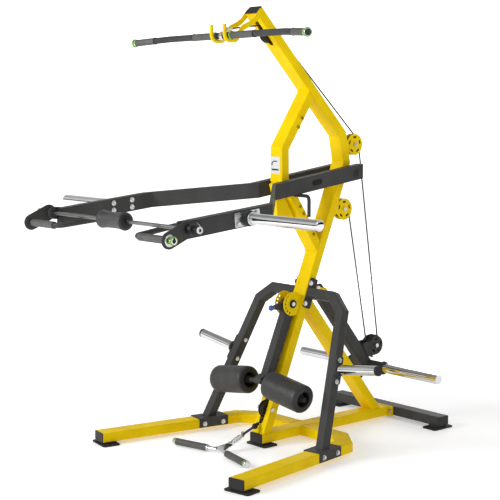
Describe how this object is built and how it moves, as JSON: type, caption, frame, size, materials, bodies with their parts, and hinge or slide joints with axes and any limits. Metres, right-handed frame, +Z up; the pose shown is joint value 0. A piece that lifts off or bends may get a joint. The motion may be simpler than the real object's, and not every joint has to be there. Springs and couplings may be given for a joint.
{
  "type": "lat pulldown machine",
  "caption": "Plate-loaded leverage gym: leaning mast with a lat bar in hooks, hinged press arm, rear weight lever with cable drive, leg developer and low row handle.",
  "frame": {"origin": "on the floor, under the middle of the machine's box", "axes": "+X is the right hand of a user who faces the machine, +Y runs from the user to the rear, +Z is up"},
  "size_m": [1.95, 2.0725, 2.2249],
  "materials": {
    "ball_plastic": "smooth",
    "black_plastic": "moulded, fine grain",
    "cable_coat": "smooth sleeve on wire rope",
    "dark_paint": "gloss powder coat",
    "dark_steel": "dark plated",
    "fastener_steel": "zinc plated",
    "floor_rubber": "moulded, matt",
    "foam": "closed-cell foam, matt",
    "frame_paint": "gloss powder coat",
    "grip_rubber": "ribbed",
    "horn_chrome": "polished plate",
    "strap_web": "woven webbing"
  },
  "bodies": {
    "frame": {"base_leg_left": "frame_paint", "base_leg_right": "frame_paint", "centre_beam": "frame_paint", "rear_beam": "dark_paint", "foot_plates": "floor_rubber", "foot_spacers": "dark_paint", "tube_caps": "black_plastic", "mast": "frame_paint", "mast_cap": "black_plastic", "front_post": "frame_paint", "rear_brace": "frame_paint", "pin_bosses": "frame_paint", "arch_left": "dark_paint", "arch_right": "dark_paint", "mount_plates": "dark_paint", "storage_horns": "horn_chrome", "mast_brackets": "frame_paint", "pulley_guards": "frame_paint", "axle_bolts": "fastener_steel", "frame_bolts": "fastener_steel", "bar_hooks": "frame_paint", "lever_stop": "floor_rubber", "lat_cable": "cable_coat", "mast_cable": "cable_coat"},
    "top_pulley": {"top_pulley": "black_plastic"},
    "guide_pulley": {"guide_pulley": "black_plastic"},
    "rear_pulley": {"rear_pulley": "black_plastic"},
    "lever_pulley": {"lever_pulley": "black_plastic"},
    "base_pulley": {"base_pulley": "black_plastic"},
    "press_arm": {"press_arm_left": "dark_paint", "press_arm_right": "dark_paint", "arm_shaft": "fastener_steel", "arm_plates": "dark_paint", "press_horns": "horn_chrome", "arm_plugs": "black_plastic"},
    "handles": {"handle_rod": "dark_steel", "handle_bars": "dark_paint", "handle_grips": "grip_rubber"},
    "front_roller": {"front_roller": "foam"},
    "lat_bar": {"lat_bar": "dark_steel", "lat_grips": "grip_rubber", "lat_swivel": "fastener_steel", "lat_tail": "cable_coat"},
    "stop_pin": {"stop_pin": "dark_paint"},
    "lever": {"lever_tube": "dark_paint", "lever_horns": "horn_chrome", "lever_guards": "dark_paint", "lever_trim": "fastener_steel"},
    "rear_span": {"rear_span": "cable_coat", "lever_wrap": "cable_coat"},
    "front_span": {"front_span": "cable_coat"},
    "row": {"row_cable": "cable_coat", "row_ball": "ball_plastic", "row_strap": "strap_web", "row_handle": "horn_chrome", "row_grips": "grip_rubber"},
    "leg_lever": {"leg_lever": "dark_paint"},
    "leg_roller_left": {"leg_roller_left": "foam"},
    "leg_roller_right": {"leg_roller_right": "foam"},
    "leg_pull_pin": {"leg_pull_pin": "ball_plastic"}
  },
  "joints": [
    {"name": "lever_lift", "type": "hinge", "parent": "frame", "child": "lever", "pos_m": [0, 0.3695, 0.785], "axis": [1, 0, 0], "range_deg": [0, 45]},
    {"name": "rear_span_swing", "type": "hinge", "parent": "lever", "child": "rear_span", "pos_m": [0, 0.8245, 0.422], "axis": [1, 0, 0], "range_deg": [-30.6, 0], "deforming": ["rear_span"]},
    {"name": "front_span_swing", "type": "hinge", "parent": "lever", "child": "front_span", "pos_m": [0, 0.8245, 0.422], "axis": [1, 0, 0], "range_deg": [-19.4, 0], "deforming": ["front_span"]},
    {"name": "lever_pulley_spin", "type": "hinge", "parent": "lever", "child": "lever_pulley", "pos_m": [0, 0.8245, 0.422], "axis": [1, 0, 0], "continuous": true},
    {"name": "rear_pulley_spin", "type": "hinge", "parent": "frame", "child": "rear_pulley", "pos_m": [0, 0.5815, 1.1875], "axis": [1, 0, 0], "continuous": true},
    {"name": "base_pulley_spin", "type": "hinge", "parent": "frame", "child": "base_pulley", "pos_m": [0, 0.0385, 0.184], "axis": [1, 0, 0], "continuous": true},
    {"name": "row_pull", "type": "slide", "parent": "frame", "child": "row", "axis": [0, -0.9854, 0.17], "range_m": [0, 0.75], "deforming": ["row_cable"]},
    {"name": "top_pulley_spin", "type": "hinge", "parent": "frame", "child": "top_pulley", "pos_m": [0, 0.0465, 2.096], "axis": [1, 0, 0], "continuous": true},
    {"name": "guide_pulley_spin", "type": "hinge", "parent": "frame", "child": "guide_pulley", "pos_m": [0, 0.6565, 1.53], "axis": [1, 0, 0], "continuous": true},
    {"name": "press_arm_lift", "type": "hinge", "parent": "frame", "child": "press_arm", "pos_m": [0, 0.5945, 1.378], "axis": [-1, 0, 0], "range_deg": [0, 38]},
    {"name": "handle_tilt", "type": "hinge", "parent": "press_arm", "child": "handles", "pos_m": [0, -0.8985, 1.217], "axis": [-1, 0, 0], "range_deg": [-15, 60]},
    {"name": "front_roller_spin", "type": "hinge", "parent": "handles", "child": "front_roller", "pos_m": [0, -0.8985, 1.217], "axis": [1, 0, 0], "continuous": true},
    {"name": "lat_bar_lift", "type": "hinge", "parent": "frame", "child": "lat_bar", "pos_m": [0, 0.0465, 2.096], "axis": [-1, 0, 0], "range_deg": [0, 60], "deforming": ["lat_tail"]},
    {"name": "stop_pin_slide", "type": "slide", "parent": "frame", "child": "stop_pin", "axis": [1, 0, 0], "range_m": [0, 0.15]},
    {"name": "leg_lift", "type": "hinge", "parent": "frame", "child": "leg_lever", "pos_m": [0, 0.1925, 0.718], "axis": [-1, 0, 0], "range_deg": [0, 75]},
    {"name": "leg_roller_left_spin", "type": "hinge", "parent": "leg_lever", "child": "leg_roller_left", "pos_m": [-0.191, -0.0025, 0.31316], "axis": [-0.9903, 0, -0.1392], "continuous": true},
    {"name": "leg_roller_right_spin", "type": "hinge", "parent": "leg_lever", "child": "leg_roller_right", "pos_m": [0.191, -0.0025, 0.31316], "axis": [0.9903, 0, -0.1392], "continuous": true},
    {"name": "leg_pin_pull", "type": "slide", "parent": "leg_lever", "child": "leg_pull_pin", "axis": [0, -1, 0], "range_m": [0, 0.015], "stiffness_N_per_m": 600}
  ],
  "couplings": [
    {"joint": "rear_span_swing", "follows": "lever_lift", "ratio": -0.67606},
    {"joint": "front_span_swing", "follows": "lever_lift", "ratio": -0.42533},
    {"joint": "lever_pulley_spin", "follows": "lever_lift", "ratio": -12.022},
    {"joint": "rear_pulley_spin", "follows": "lever_lift", "ratio": 21.085},
    {"joint": "base_pulley_spin", "follows": "lever_lift", "ratio": -23.193},
    {"joint": "row_pull", "follows": "lever_lift", "m_per_rad": 0.947}
  ]
}
